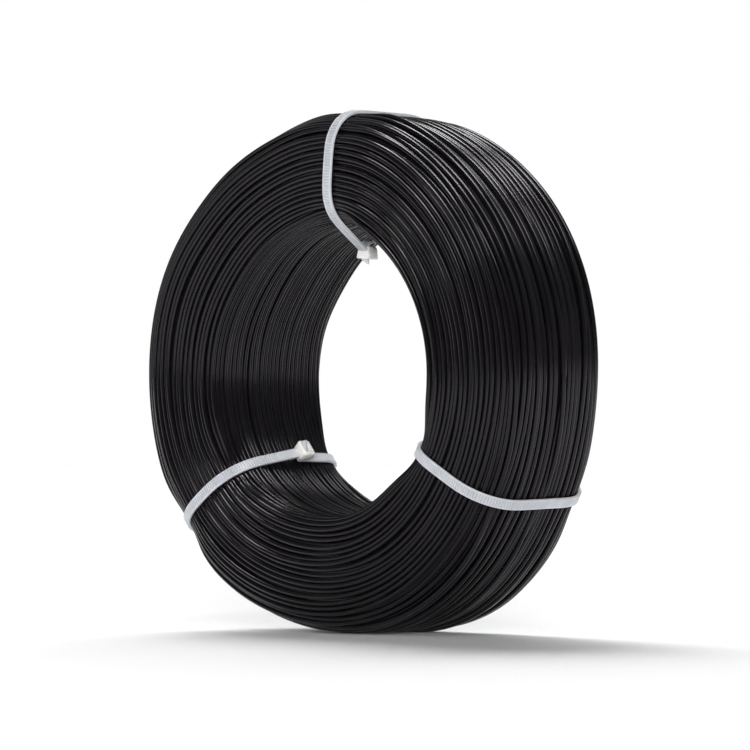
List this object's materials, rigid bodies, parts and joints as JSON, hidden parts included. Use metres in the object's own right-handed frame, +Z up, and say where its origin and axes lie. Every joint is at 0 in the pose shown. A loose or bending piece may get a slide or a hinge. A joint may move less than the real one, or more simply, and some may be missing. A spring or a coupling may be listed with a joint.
{
  "type": "filament refill coil",
  "caption": "Ring-shaped refill coil of round plastic filament for a reusable spool, bound by nylon cable ties and standing on its rim.",
  "frame": {"origin": "on the surface that the coil stands on, below the middle of the coil", "axes": "+Y along the bore, away from the front face; +Z up; +X across the coil, to the right when looking along +Y"},
  "size_m": [0.182, 0.057, 0.1828],
  "materials": {
    "filament": "satin black extruded filament",
    "nylon": "natural nylon, slightly translucent"
  },
  "bodies": {
    "coil": {"filament_core": "filament", "filament_outer_layer": "filament", "tie_top_strap": "nylon", "tie_top_head": "nylon", "tie_left_strap": "nylon", "tie_left_head": "nylon", "tie_right_strap": "nylon", "tie_right_head": "nylon"},
    "top_pawl": {"tie_top_pawl": "nylon"},
    "left_pawl": {"tie_left_pawl": "nylon"},
    "right_pawl": {"tie_right_pawl": "nylon"}
  },
  "joints": [
    {"name": "top_pawl_hinge", "type": "hinge", "parent": "coil", "child": "top_pawl", "pos_m": [0.00348, -0.00315, 0.13446], "axis": [0.9966, 0.0297, -0.0767], "range_deg": [0, 12], "stiffness_Nm_per_rad": 0.002},
    {"name": "left_pawl_hinge", "type": "hinge", "parent": "coil", "child": "left_pawl", "pos_m": [-0.03733, 0.00535, 0.06311], "axis": [-0.5945, -0.0349, 0.8034], "range_deg": [0, 12], "stiffness_Nm_per_rad": 0.002},
    {"name": "right_pawl_hinge", "type": "hinge", "parent": "coil", "child": "right_pawl", "pos_m": [0.0412, 0.00764, 0.06768], "axis": [-0.4891, 0.0349, -0.8715], "range_deg": [0, 12], "stiffness_Nm_per_rad": 0.002}
  ]
}
